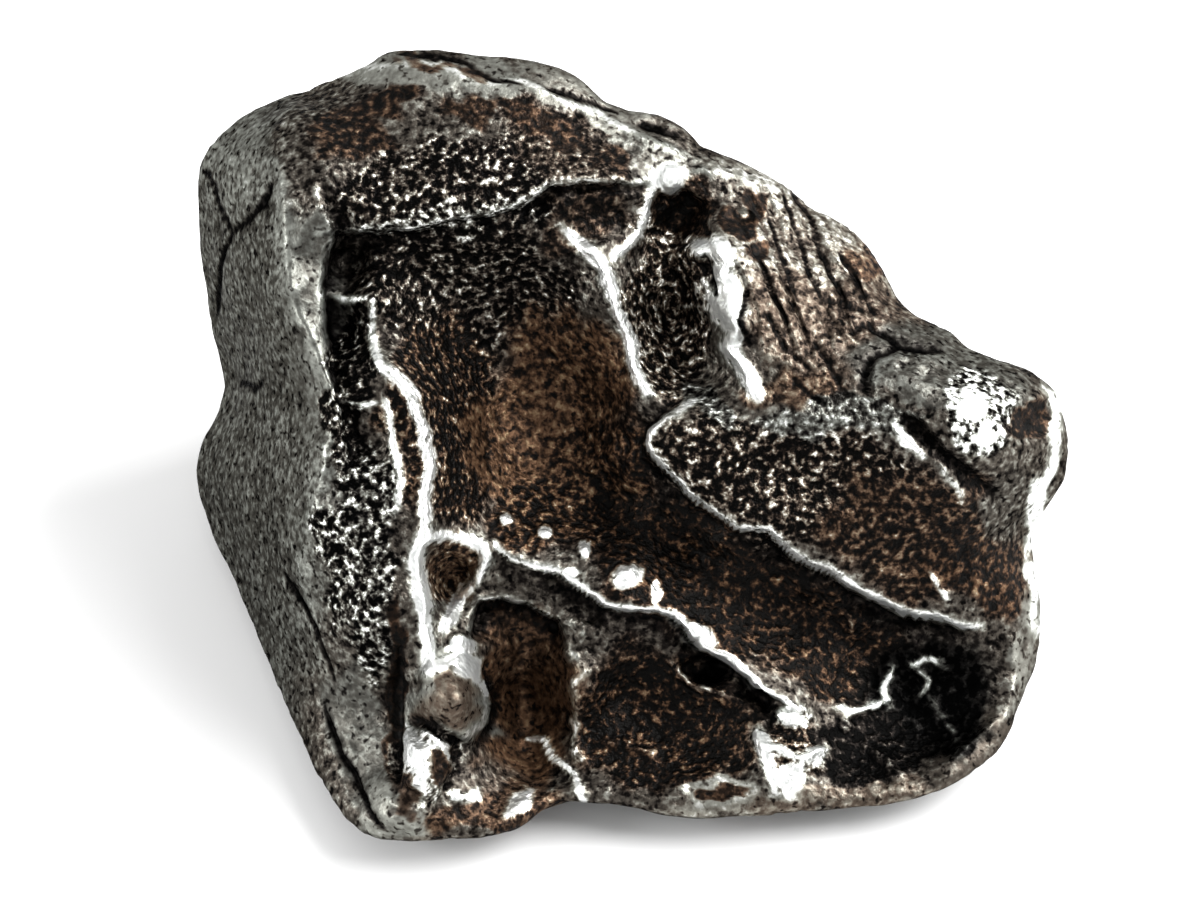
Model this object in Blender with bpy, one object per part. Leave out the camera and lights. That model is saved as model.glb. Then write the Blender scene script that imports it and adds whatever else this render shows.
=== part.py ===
"""A small iron meteorite, one solid piece of metal, lying on its flattest side.

The front of the stone is drawn on a sheet as it is seen from above and in front.
Sheet positions are whole units with x to the right and y down, and heights are in
millimetres toward the viewer. A cube is subdivided, made round and then moved onto
the drawn form, so the body stays one closed surface. Metres, +Z up.
"""

import math

import bmesh
import bpy
import numpy as np
from mathutils import Vector, noise

# Driving dimensions
STONE_WIDTH_MM = 50.0
SHEET_WIDTH_OF_STONE = 890.0
UNIT_MM = STONE_WIDTH_MM / SHEET_WIDTH_OF_STONE
SHEET_CENTRE = (600.0, 450.0)
VIEW_ELEVATION_DEG = 50.0
VIEW_DISTANCE_MM = 374.0
SHEET_CENTRE_ABOVE_FLOOR_MM = 16.5
DEPTH_BEHIND_CENTRE_MM = 21.5

# Edges, crests and the underside
RIM_ROLL_MM = 1.8
RIM_RISE_MM = 1.2
CREST_ROUNDING_MM = 0.5
LINE_FADE = 0.15
BACK_ROLL = 0.55
LEAST_THICKNESS_MM = 2.0
WALL_BOW_PER_MM = 0.004
DEEPEST_MM = -21.0
RIGHT_FLARE = (8.0, 0.9)
LEFT_FLARE = (-16.0, -0.8)
BACK_ROUNDING_MM = 7.0
FLARE_ROUNDING_MM = 5.0
FOOT_MIDDLE = (600.0, 590.0)
FOOT_SINK_MM = 0.6
FOOT_RADIUS_MM = 12.0
SWELL_MM = (0.25, 0.75)
SWELL_LENGTH_MM = (4.5, 8.0)
SWELL_SEED = 1795849496

# Mesh density and smoothness
CUTS_PER_SIDE = 27
FRONT_SHARE_DEG = 103.0
ROUND_SPACING = 0.45
RIM_STEPS = 1440
RADIUS_SMOOTHING = 3
HEIGHT_SMOOTHING = 8
PLATE_SLACK = 0.3
SMOOTHING_PASSES = 2

METAL_COLOUR = (0.19, 0.18, 0.165, 1.0)
METAL_ROUGHNESS = 0.42

# The outline from its upper left corner clockwise, with the height of the widest line
OUTLINE_CENTRE = (620.0, 450.0)
OUTLINE = [
    (197, 185, -11.0), (200, 165, -10.4), (213, 143, -9.8), (240, 117, -9.0), (268, 103, -8.2),
    (300, 91, -7.4), (340, 76, -6.6), (372, 62, -5.6), (385, 53, -5.4), (410, 50, -5.2),
    (440, 50, -5.0), (480, 56, -5.0), (520, 59, -5.0), (560, 68, -5.0), (580, 80, -5.0),
    (605, 102, -5.0), (628, 111, -5.0), (655, 114, -5.2), (685, 129, -5.4), (700, 147, -5.4),
    (730, 157, -5.6), (760, 171, -6.0), (790, 189, -6.4), (812, 210, -6.6), (845, 226, -6.8),
    (870, 250, -6.6), (888, 280, -6.2), (898, 298, -5.6), (915, 315, -5.0), (950, 332, -4.6),
    (968, 349, -4.2), (1000, 361, -4.0), (1030, 371, -4.0), (1055, 390, -4.0), (1069, 440, -4.4),
    (1066, 475, -4.8), (1050, 500, -5.2), (1035, 525, -5.8), (1031, 540, -6.2), (1036, 575, -6.8),
    (1041, 630, -7.0), (1036, 665, -6.6), (1024, 695, -5.6), (1013, 728, -4.6), (1000, 750, -3.8),
    (975, 772, -3.0), (945, 790, -2.4), (912, 800, -2.0), (860, 806, -1.8), (800, 813, -1.5),
    (740, 817, -1.3), (700, 819, -1.2), (665, 816, -1.3), (640, 809, -1.5), (610, 803, -1.7),
    (570, 801, -1.8), (545, 808, -1.5), (520, 828, -0.6), (490, 837, 0.0), (440, 840, 0.2),
    (400, 841, 0.2), (365, 836, -0.2), (345, 820, -1.2), (325, 785, -2.8), (302, 740, -5.0),
    (285, 705, -6.8), (269, 665, -8.8), (254, 625, -10.6), (239, 590, -12.6), (226, 562, -14.0),
    (212, 532, -15.2), (199, 495, -16.4), (197, 470, -16.6), (203, 440, -16.2), (218, 412, -15.4),
    (225, 385, -15.0), (220, 355, -14.8), (213, 335, -14.6), (206, 285, -13.4), (199, 225, -12.2),
]

# Heights of the main forms: crests, hollows and slopes of the front
FORM_HEIGHTS = [
    # Crest between the left flank and the front
    (290, 105, -4.0), (281, 145, -1.4), (283, 200, 0.2), (288, 285, 0.9), (310, 340, 1.3),
    (337, 400, 1.6), (328, 450, 1.2), (312, 500, 0.4), (300, 560, -1.4), (308, 620, -2.4),
    (332, 680, -2.2), (352, 745, -1.6), (372, 800, -0.2),
    # Top dome
    (350, 120, -2.0), (450, 110, -1.6), (540, 125, -1.8), (620, 150, -2.4), (380, 180, 0.2),
    (470, 180, 0.3), (340, 235, 0.8), (410, 228, 0.9), (480, 218, 0.6), (550, 195, 0.2),
    (620, 190, -0.4), (690, 180, -3.2),
    # Wall and rib left of the hollow
    (345, 262, -1.0), (345, 330, -1.2), (372, 300, 0.7), (383, 365, 1.0), (418, 400, 0.8),
    (427, 450, 1.1), (430, 500, 1.3), (420, 545, 1.4), (370, 440, 0.9),
    # Central hollow and its right crest
    (420, 270, -1.6), (500, 280, -2.8), (450, 350, -3.2), (540, 370, -4.2), (480, 430, -3.2),
    (560, 450, -4.2), (500, 515, -2.6), (610, 500, -3.8), (580, 245, -0.8), (617, 305, -0.5),
    (640, 385, -0.2), (560, 300, -3.0), (600, 400, -3.4),
    # Valley and ridge at the upper right
    (665, 230, -4.2), (672, 310, -4.6), (690, 370, -2.6), (715, 250, -0.8), (728, 330, -0.1),
    (762, 398, 0.7), (760, 215, -3.6), (830, 280, -2.6), (800, 340, 0.0), (865, 345, -0.6),
    # Tongue and right lump
    (646, 445, 0.5), (700, 418, 1.1), (800, 425, 1.5), (890, 430, 1.4), (760, 480, 0.8),
    (850, 500, 0.4), (735, 522, 0.4), (835, 568, -0.6), (930, 545, -0.8), (965, 620, -3.0),
    (905, 378, 1.4), (965, 400, 1.9), (1015, 425, 0.6), (1000, 515, -1.4), (1005, 590, -3.8),
    # Chute under the tongue and the ledge chain below it
    (690, 550, -2.8), (780, 610, -3.6), (860, 660, -4.6), (945, 690, -5.0), (930, 745, -4.0),
    (505, 555, -1.0), (562, 578, -1.1), (630, 575, -0.7), (672, 612, -1.2), (738, 668, -1.5),
    (792, 712, -1.4), (850, 755, -2.6),
    # Lower level, pocket and bottom lip
    (620, 690, -3.4), (700, 730, -3.0), (650, 775, -1.8), (735, 792, -0.6), (520, 690, -5.0),
    (525, 755, -3.8), (582, 690, -1.6), (490, 620, -2.0),
    # Roll, funnel and nodules at the lower left
    (360, 490, 1.7), (362, 570, 1.9), (372, 650, 1.0), (418, 600, 1.5), (448, 588, -1.6),
    (430, 660, 0.9), (462, 700, 1.2), (428, 765, 0.9), (395, 700, -1.0), (400, 808, 1.0),
    (500, 810, -0.4),
]

# Sharp ridges: crest height, width on the left and right of the line, and its points
RIDGES = [
    (0.9, 20, 26, [(290, 105), (281, 150), (284, 230), (290, 290), (312, 345), (338, 402)]),
    (0.6, 22, 18, [(318, 180), (331, 235), (324, 290), (330, 360), (345, 430)]),
    (0.8, 26, 24, [(350, 74), (400, 66), (440, 66), (500, 80), (560, 98), (640, 134), (716, 166)]),
    (1.1, 22, 24, [(330, 234), (410, 231), (512, 211), (550, 188), (655, 186)]),
    (1.1, 18, 22, [(560, 223), (603, 265), (630, 345), (646, 395)]),
    (1.1, 16, 22, [(372, 300), (380, 365), (415, 395), (430, 460), (425, 500), (430, 540)]),
    (1.0, 18, 20, [(425, 535), (410, 565), (418, 620), (430, 665)]),
    (1.3, 18, 22, [(712, 245), (715, 300), (735, 325), (745, 370), (762, 400)]),
    (0.8, 30, 26, [(690, 398), (720, 424), (800, 420), (895, 430)]),
    (1.3, 30, 14, [(643, 440), (675, 478), (700, 508), (775, 532), (835, 575), (908, 610), (975, 628)]),
    (1.1, 26, 14, [(495, 550), (562, 575), (640, 572), (690, 625), (757, 690), (790, 712), (775, 775)]),
    (1.3, 20, 20, [(480, 603), (525, 603), (568, 650), (588, 680), (580, 755), (603, 777)]),
    (0.8, 26, 20, [(868, 390), (875, 362), (905, 350), (945, 356)]),
    (0.7, 24, 20, [(600, 805), (680, 795), (760, 790)]),
]

# Grooves and cracks, in the same form as the ridges
GROOVES = [
    (1.0, 16, 16, [(205, 168), (214, 195), (232, 234), (220, 285)]),
    (1.2, 16, 16, [(270, 183), (252, 214), (232, 234)]),
    (0.9, 16, 16, [(300, 603), (333, 668), (340, 745), (358, 800), (385, 828)]),
    (1.0, 18, 18, [(910, 425), (945, 455), (1000, 500)]),
    (0.7, 18, 18, [(405, 722), (430, 728), (462, 745)]),
    (0.9, 18, 18, [(390, 660), (396, 720), (392, 790)]),
]

# Rounded knobs above zero and thumbprint pits below it: x, y, radii, turn in degrees, height
KNOBS = [
    (452, 700, 44, 50, 10, 2.0), (427, 762, 31, 40, 0, 1.7), (397, 800, 42, 36, 0, 1.2),
    (672, 178, 18, 18, 0, 0.9), (628, 572, 24, 18, 0, 0.7), (695, 630, 22, 20, 0, 0.6),
    (1032, 420, 30, 24, 10, -1.2), (590, 222, 54, 30, 20, -0.9), (448, 585, 28, 42, 15, -1.3),
    (350, 268, 26, 32, 0, -0.4), (708, 670, 38, 22, 0, -1.1), (820, 470, 90, 40, -10, -0.5),
    (540, 400, 90, 100, 0, -0.9), (520, 700, 62, 90, 5, -0.9), (800, 290, 70, 60, 60, -0.5),
]

# The back, never drawn on the sheet: shallow thumbprints between low crests
BACK_PITS = [
    (330, 250, 90, 80, 0, 1.6), (500, 190, 100, 80, 20, 1.8), (690, 260, 110, 90, -10, 2.0),
    (880, 380, 90, 80, 30, 1.6), (420, 330, 80, 70, 40, 1.2), (960, 560, 70, 80, 0, 1.3),
    (280, 430, 60, 90, 10, 1.2), (590, 130, 70, 40, 10, 1.0), (800, 300, 60, 60, 0, 1.0),
]

ELEVATION = math.radians(VIEW_ELEVATION_DEG)
SIN_E = math.sin(ELEVATION)
COS_E = math.cos(ELEVATION)


def sheet_mm(points):
    """Sheet units to millimetres from the sheet's centre, with y up."""
    flat = np.array(points, float)
    flat[:, 0] = (flat[:, 0] - SHEET_CENTRE[0]) * UNIT_MM
    flat[:, 1] = (SHEET_CENTRE[1] - flat[:, 1]) * UNIT_MM
    return flat


def smooth_max(a, b, reach):
    """The greater of two heights, with a rounded change over the given reach."""
    near = np.clip(0.5 + 0.5 * (a - b) / reach, 0.0, 1.0)
    return b + (a - b) * near + reach * near * (1.0 - near)


def ring_average(values, reach):
    """Each value of a closed ring averaged with its neighbours on both sides."""
    return sum(np.roll(values, k) for k in range(-reach, reach + 1)) / (2 * reach + 1)


def rim_tables():
    """Radius and height of the widest line over a full turn, a little smoothed."""
    points = sheet_mm(OUTLINE)
    centre = sheet_mm([OUTLINE_CENTRE])[0]
    offset = points[:, :2] - centre
    angles = np.arctan2(offset[:, 1], offset[:, 0])
    turn = np.linspace(-math.pi, math.pi, RIM_STEPS, endpoint=False)
    radius = np.interp(turn, angles, np.hypot(offset[:, 0], offset[:, 1]), period=2 * math.pi)
    height = np.interp(turn, angles, points[:, 2], period=2 * math.pi)
    radius = ring_average(ring_average(radius, RADIUS_SMOOTHING), RADIUS_SMOOTHING)
    height = ring_average(ring_average(height, HEIGHT_SMOOTHING), HEIGHT_SMOOTHING)
    return centre, turn, radius, height


def plate_kernel(distance):
    return distance * distance * np.log(distance + 1e-9)


def bent_plate(x, y):
    """Height of a thin plate bent through the rim and all the main forms."""
    rim = sheet_mm(OUTLINE)
    rim[:, 2] += RIM_RISE_MM
    knots = np.vstack([rim, sheet_mm(FORM_HEIGHTS)])
    count = len(knots)
    apart = np.hypot(knots[:, None, 0] - knots[None, :, 0], knots[:, None, 1] - knots[None, :, 1])
    system = np.zeros((count + 3, count + 3))
    system[:count, :count] = plate_kernel(apart) + np.eye(count) * PLATE_SLACK
    system[:count, count:] = np.column_stack([np.ones(count), knots[:, :2]])
    system[count:, :count] = system[:count, count:].T
    weights = np.linalg.solve(system, np.append(knots[:, 2], np.zeros(3)))
    height = weights[count] + weights[count + 1] * x + weights[count + 2] * y
    for knot, weight in zip(knots, weights):
        height += weight * plate_kernel(np.hypot(x - knot[0], y - knot[1]))
    return height


def line_profile(x, y, points, left, right):
    """One on the line, falling off sharply to each side and fading at its ends."""
    line = sheet_mm(points)
    lengths = np.hypot(*(line[1:] - line[:-1]).T)
    total = lengths.sum()
    nearest = np.full(x.shape, 1e9)
    side = np.zeros(x.shape)
    along = np.zeros(x.shape)
    start = 0.0
    for a, b, length in zip(line[:-1], line[1:], lengths):
        dx, dy = (b - a) / length
        run = np.clip((x - a[0]) * dx + (y - a[1]) * dy, 0.0, length)
        away = np.hypot(x - a[0] - run * dx, y - a[1] - run * dy)
        closer = away < nearest
        nearest = np.where(closer, away, nearest)
        side = np.where(closer, dx * (y - a[1]) - dy * (x - a[0]), side)
        along = np.where(closer, start + run, along)
        start += length
    width = np.where(side > 0, left, right) * UNIT_MM
    nearest = np.hypot(nearest, CREST_ROUNDING_MM) - CREST_ROUNDING_MM
    fade = np.clip(np.minimum(along, total - along) / (LINE_FADE * total), 0.0, 1.0)
    return np.exp(-nearest / width) * (1.0 + fade) / 2


def oval_profile(x, y, cx, cy, rx, ry, turn_deg):
    """A round cap: one in the middle of the oval and zero from its edge on."""
    middle = sheet_mm([(cx, cy)])[0]
    c, s = math.cos(math.radians(turn_deg)), math.sin(math.radians(turn_deg))
    u = ((x - middle[0]) * c + (y - middle[1]) * s) / (rx * UNIT_MM)
    v = ((y - middle[1]) * c - (x - middle[0]) * s) / (ry * UNIT_MM)
    return np.clip(1.0 - u * u - v * v, 0.0, 1.0)


def front_height(x, y):
    height = bent_plate(x, y)
    for crest, left, right, points in RIDGES:
        height += crest * line_profile(x, y, points, left, right)
    for depth, left, right, points in GROOVES:
        height -= depth * line_profile(x, y, points, left, right)
    for cx, cy, rx, ry, turn_deg, rise in KNOBS:
        height += rise * oval_profile(x, y, cx, cy, rx, ry, turn_deg)
    return height


def floor_height(y):
    """Height at which the floor is met below a sheet position."""
    return -(SHEET_CENTRE_ABOVE_FLOOR_MM + y * COS_E) / SIN_E


def back_height(x, y):
    foot_x, foot_y = sheet_mm([FOOT_MIDDLE])[0]
    from_foot = ((x - foot_x) ** 2 + ((y - foot_y) / SIN_E) ** 2) / FOOT_RADIUS_MM ** 2
    under = floor_height(y) + FOOT_SINK_MM * (from_foot - 1.0) / SIN_E
    wall = (y * SIN_E - DEPTH_BEHIND_CENTRE_MM + WALL_BOW_PER_MM * x * x) / COS_E
    right, left = (DEEPEST_MM + slope * (x - start) for start, slope in (RIGHT_FLARE, LEFT_FLARE))
    flares = smooth_max(right, left, FLARE_ROUNDING_MM)
    height = smooth_max(smooth_max(under, wall, BACK_ROUNDING_MM), flares, FLARE_ROUNDING_MM)
    for cx, cy, rx, ry, turn_deg, depth in BACK_PITS:
        height += depth * oval_profile(x, y, cx, cy, rx, ry, turn_deg)
    return height


def swell(points, behind):
    """Soft irregular swellings, slight on the drawn front and fuller behind."""
    # Without a seed this noise starts from the clock and every run gives another stone
    noise.seed_set(SWELL_SEED)
    near, far = SWELL_LENGTH_MM
    fine = np.array([noise.noise_vector(Vector(point / near)) for point in points])
    broad = np.array([noise.noise_vector(Vector(point / far)) for point in points])
    behind = behind[:, None]
    return SWELL_MM[0] * fine * (1.0 + behind) / 2 + SWELL_MM[1] * broad * behind


def form_points(directions):
    """Move unit directions onto the stone. Millimetres, with z up from the floor."""
    u, v, w = directions.T
    centre, turn, radius_table, height_table = rim_tables()
    angle = np.arctan2(v, u)
    radius = np.interp(angle, turn, radius_table, period=2 * math.pi)
    rim = np.interp(angle, turn, height_table, period=2 * math.pi)
    tilt = np.degrees(np.arccos(np.clip(w, -1.0, 1.0)))
    front = tilt <= FRONT_SHARE_DEG
    share = np.where(front, tilt / FRONT_SHARE_DEG, (180.0 - tilt) / (180.0 - FRONT_SHARE_DEG))
    even = math.sqrt(2.0) * np.sin(share * math.pi / 4)
    reach = even + ROUND_SPACING * (np.sin(share * math.pi / 2) - even)
    x = centre[0] + reach * radius * np.cos(angle)
    y = centre[1] + reach * radius * np.sin(angle)

    inward = np.clip((1.0 - reach) * radius / RIM_ROLL_MM, 0.0, 1.0)
    front_blend = np.sqrt(1.0 - (1.0 - inward) ** 2)
    inward = np.clip((1.0 - reach) / BACK_ROLL, 0.0, 1.0)
    back_blend = np.sqrt(1.0 - (1.0 - inward) ** 2)
    height = np.where(
        front,
        rim + (front_height(x, y) - rim) * front_blend,
        rim + (np.minimum(back_height(x, y), rim - LEAST_THICKNESS_MM) - rim) * back_blend,
    )
    spread = 1.0 - height / VIEW_DISTANCE_MM
    x, y = x * spread, y * spread
    z = SHEET_CENTRE_ABOVE_FLOOR_MM + y * COS_E + height * SIN_E
    points = np.column_stack([x, y * SIN_E - height * COS_E, z])
    points += swell(points, np.where(front, 0.0, back_blend))
    points[:, 2] = np.maximum(points[:, 2], 0.0)
    return points


def build_stone():
    shape = bmesh.new()
    bmesh.ops.create_cube(shape, size=2.0)
    bmesh.ops.subdivide_edges(shape, edges=shape.edges[:], cuts=CUTS_PER_SIDE, use_grid_fill=True)
    cube = np.array([vertex.co[:] for vertex in shape.verts])
    # The tangent keeps the squares nearly equal on the ball
    ball = np.tan(cube * math.pi / 4)
    ball /= np.linalg.norm(ball, axis=1, keepdims=True)
    for vertex, point in zip(shape.verts, form_points(ball)):
        vertex.co = point / 1000.0
    for _ in range(SMOOTHING_PASSES):
        bmesh.ops.smooth_vert(shape, verts=shape.verts[:], factor=0.5)
    points = np.array([vertex.co[:] for vertex in shape.verts])
    middle = (points.min(0) + points.max(0)) / 2
    bmesh.ops.translate(shape, verts=shape.verts[:], vec=(-middle[0], -middle[1], 0.0))
    bmesh.ops.triangulate(shape, faces=shape.faces[:], quad_method="SHORT_EDGE")
    mesh = bpy.data.meshes.new("meteorite")
    shape.to_mesh(mesh)
    shape.free()
    mesh.shade_smooth()
    return mesh


def iron_material():
    iron = bpy.data.materials.new("weathered_iron")
    iron.use_nodes = True
    shader = iron.node_tree.nodes["Principled BSDF"]
    shader.inputs["Base Color"].default_value = METAL_COLOUR
    shader.inputs["Roughness"].default_value = METAL_ROUGHNESS
    shader.inputs["Metallic"].default_value = 1.0
    return iron


def main():
    for item in list(bpy.data.objects):
        bpy.data.objects.remove(item)
    group = bpy.data.collections.new("iron_meteorite")
    bpy.context.scene.collection.children.link(group)
    mesh = build_stone()
    mesh.materials.append(iron_material())
    group.objects.link(bpy.data.objects.new("meteorite", mesh))


main()
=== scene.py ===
"""The iron meteorite's visible surface, its weathered finish, the floor, the light and the camera.

The stone is drawn on a sheet as it is seen in the photograph: whole sheet units with x to the
right and y down, and heights in millimetres toward the viewer. A subdivided cube is made round
and moved onto that form, finely enough for its ridges, cracks and pits.
"""

import math

import bmesh
import bpy
import numpy as np
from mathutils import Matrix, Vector, noise


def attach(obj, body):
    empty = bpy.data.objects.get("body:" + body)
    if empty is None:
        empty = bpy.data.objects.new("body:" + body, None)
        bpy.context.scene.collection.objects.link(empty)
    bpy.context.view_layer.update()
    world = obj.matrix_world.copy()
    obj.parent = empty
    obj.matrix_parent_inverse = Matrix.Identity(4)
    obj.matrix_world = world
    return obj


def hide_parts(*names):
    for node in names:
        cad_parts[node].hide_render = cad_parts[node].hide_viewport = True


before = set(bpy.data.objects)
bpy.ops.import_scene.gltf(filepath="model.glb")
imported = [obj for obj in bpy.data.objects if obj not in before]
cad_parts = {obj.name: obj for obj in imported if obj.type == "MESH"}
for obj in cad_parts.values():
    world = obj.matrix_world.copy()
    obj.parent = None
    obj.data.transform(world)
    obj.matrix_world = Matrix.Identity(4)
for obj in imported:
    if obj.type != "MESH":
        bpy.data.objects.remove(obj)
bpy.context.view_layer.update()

# The sheet and the view, the same as the solid's
STONE_WIDTH_MM = 50.0
SHEET_WIDTH_OF_STONE = 890.0
UNIT_MM = STONE_WIDTH_MM / SHEET_WIDTH_OF_STONE
SHEET_WIDTH = 1200.0
SHEET_CENTRE = (600.0, 450.0)
VIEW_ELEVATION_DEG = 50.0
VIEW_DISTANCE_MM = 374.0
SHEET_CENTRE_ABOVE_FLOOR_MM = 16.5
DEPTH_BEHIND_CENTRE_MM = 21.5

# Edges, the underside and the back, the same as the solid's
RIM_ROLL_MM = 1.8
RIM_RISE_MM = 1.2
BACK_ROLL = 0.55
LEAST_THICKNESS_MM = 2.0
WALL_BOW_PER_MM = 0.004
DEEPEST_MM = -21.0
RIGHT_FLARE = (8.0, 0.9)
LEFT_FLARE = (-16.0, -0.8)
BACK_ROUNDING_MM = 7.0
FLARE_ROUNDING_MM = 5.0
FOOT_MIDDLE = (600.0, 590.0)
FOOT_SINK_MM = 0.6
FOOT_RADIUS_MM = 12.0
# Swellings, fine and broad: heights and lengths
SWELL_MM = (0.25, 0.75)
SWELL_LENGTH_MM = (4.5, 8.0)
SWELL_SEED = 1795849496
PLATE_SLACK = 0.3

# The fine surface
CUTS_PER_SIDE = 127
FRONT_SHARE_DEG = 112.0
ROUND_SPACING = 0.45
SPACING_ROWS = 240
SPACING_STEPS = 160
STEEPNESS_WEIGHT = 0.55
RIM_STEPS = 1440
RADIUS_SMOOTHING = 2
HEIGHT_SMOOTHING = 8
CREST_ROUNDING_MM = 0.07
CLIFF_MM = 0.12
LINE_FADE = 0.15

# Irregular shifts, as noise layers of an amount and a length in mm, for lines, cracks and finish
LINE_WANDER = [(0.22, 1.7), (0.10, 0.7)]
CRACK_WANDER = [(0.12, 0.8)]
FINISH_WANDER = [(1.3, 3.1), (0.8, 1.1)]
# Changes of height and of wear and painted highlight along a line, as a share and a length in mm
UNEVEN = (0.55, 1.3)
WEAR_HIGHLIGHT_CHANGE = (0.5, 0.9)

# Worn lines, rubbed bare metal with a painted highlight: their width as a share of the crest's, and a
# factor that makes their middle flat
WORN_HIGHLIGHT_SHARE = 0.7
WORN_HIGHLIGHT_FLAT = 1.5
# Worn lips of the ledges with a painted highlight, which start a little before the edge, and the
# painted shade below them
LIP_MM = 0.26
LIP_START = 0.7
SHADE_MM = 0.9
SPOT_WEAR_AND_HIGHLIGHT = 1.6
# What full wear and painted highlight make of the tone and take of the glitter, and how dark painted
# shade and pits are
FULL_WEAR_AND_HIGHLIGHT = 1.35
WORN_HIGHLIGHT_GLITTER_LOSS = 0.7
SHADE_DARKENING = 0.85
PIT_DARKENING = 1.5
# Share of a crack's profile at which its painted shade starts, and over which it grows
CRACK_EDGE = 0.25
CRACK_SOFTNESS = 0.35

# Finish where none is laid on, as light, brown and glitter, and the patches of the back
PLAIN_FINISH = (0.45, 0.20, 0.20)
BACK_FINISH = (0.50, 0.20, 0.15)
BACK_PATCH = (-0.14, 0.80, 0.10)
BACK_PATCH_MM = 7.0
BACK_PATCH_ROUGHNESS = 0.8
BACK_PATCH_LAYERS = 4
# Thumbprint hollows of the back, which lie where the noise is above a little under zero
THUMBPRINT_MM = 4.2
THUMBPRINT_DEPTH_MM = 1.1
THUMBPRINT_MARGIN = 0.05

# Relief of the surface: length and height of its grain and lumps, and length, threshold,
# depth and offset of its pits
GRAIN_MM, GRAIN_HEIGHT_MM = 0.9, 0.035
GRAIN_ROUGHNESS, GRAIN_STEP, GRAIN_LAYERS = 0.9, 2.1, 2
LUMP_MM, LUMP_HEIGHT_MM = 2.1, 0.05
PIT_MM, PIT_THRESHOLD, PIT_DEPTH_MM = 0.75, 0.28, 0.30
PIT_OFFSET = (7.0, 3.0, 1.0)

# Grain and dark pits of the finish, about 0.4 mm across: coarser than real so that they show
MM_PER_METRE = 1000.0
TONE_GRAIN_PER_MM = 2.4
TONE_PITS_PER_MM = 2.6
TONE_PIT_RANGE = (0.59, 0.72)
TONE_PIT_DARKNESS = 0.34
# Ranges from dull to glittering iron, where the grain also paints glints and dark specks into the
# colour, from bare metal to full oxide, and from dark to light
GRAIN_CONTRAST = (0.5, 4.0)
BUMP_STRENGTH = (0.20, 1.0)
METALLIC = (1.0, 0.7)
ROUGHNESS = (0.50, 0.40)
BUMP_MM = 0.4
# A rough oxide skin reflects little at a grazing angle
EDGE_TINT = (0.35, 0.35, 0.35, 1.0)

# Floor: half its side, colour and roughness
FLOOR_HALF_MM = 1500.0
FLOOR_COLOUR = "e8e8e8"
FLOOR_ROUGHNESS = 0.9

# Softboxes: name, place in mm, side in mm and watts
SOFTBOXES = [
    ("left_softbox", (-280, -60, 130), 90, 0.5),
    ("right_softbox", (250, 50, 240), 300, 2.9),
]
# Surroundings: the cosines between which they turn dark, and their light outside and inside
DARK_RANGE = (0.65, 0.95)
ROOM_LIGHT = (1.15, 0.45)
CAMERA_NEAR_MM = 10.0

# Wrinkles of the upper right slope: x, y, radii and turn of their zones, and their slope,
# length across, stretch along, width, height and darkness
WRINKLE_ZONES = [(815, 250, 110, 100, 40), (780, 300, 60, 70, 20)]
WRINKLE_SLOPE = math.radians(66.0)
WRINKLE_MM = 1.2
WRINKLE_STRETCH = 4.5
WRINKLE_GAP = 0.22
WRINKLE_HEIGHT_MM = 0.35
WRINKLE_SHADE = 0.5

# The dark side of the room, added to the direction toward the camera
DARK_SIDE = (0.35, 0.0, 0.2)

# The outline from its upper left corner clockwise, with the height of the widest line
OUTLINE_CENTRE = (620.0, 450.0)
OUTLINE = [
    (197, 185, -11.0), (200, 165, -10.4), (213, 143, -9.8), (240, 117, -9.0), (268, 103, -8.2),
    (300, 91, -7.4), (340, 76, -6.6), (372, 62, -5.6), (385, 53, -5.4), (410, 50, -5.2),
    (440, 50, -5.0), (480, 56, -5.0), (520, 59, -5.0), (560, 68, -5.0), (580, 80, -5.0),
    (605, 102, -5.0), (628, 111, -5.0), (655, 114, -5.2), (685, 129, -5.4), (700, 147, -5.4),
    (730, 157, -5.6), (760, 171, -6.0), (790, 189, -6.4), (812, 210, -6.6), (845, 226, -6.8),
    (870, 250, -6.6), (888, 280, -6.2), (898, 298, -5.6), (915, 315, -5.0), (950, 332, -4.6),
    (968, 349, -4.2), (1000, 361, -4.0), (1030, 371, -4.0), (1055, 390, -4.0), (1069, 440, -4.4),
    (1066, 475, -4.8), (1050, 500, -5.2), (1035, 525, -5.8), (1031, 540, -6.2), (1036, 575, -6.8),
    (1041, 630, -7.0), (1036, 665, -6.6), (1024, 695, -5.6), (1013, 728, -4.6), (1000, 750, -3.8),
    (975, 772, -3.0), (945, 790, -2.4), (912, 800, -2.0), (860, 806, -1.8), (800, 813, -1.5),
    (740, 817, -1.3), (700, 819, -1.2), (665, 816, -1.3), (640, 809, -1.5), (610, 803, -1.7),
    (570, 801, -1.8), (545, 808, -1.5), (520, 828, -0.6), (490, 837, 0.0), (440, 840, 0.2),
    (400, 841, 0.2), (365, 836, -0.2), (345, 820, -1.2), (325, 785, -2.8), (302, 740, -5.0),
    (285, 705, -6.8), (269, 665, -8.8), (254, 625, -10.6), (239, 590, -12.6), (226, 562, -14.0),
    (212, 532, -15.2), (199, 495, -16.4), (197, 470, -16.6), (203, 440, -16.2), (218, 412, -15.4),
    (225, 385, -15.0), (220, 355, -14.8), (213, 335, -14.6), (206, 285, -13.4), (199, 225, -12.2),
]

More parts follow.
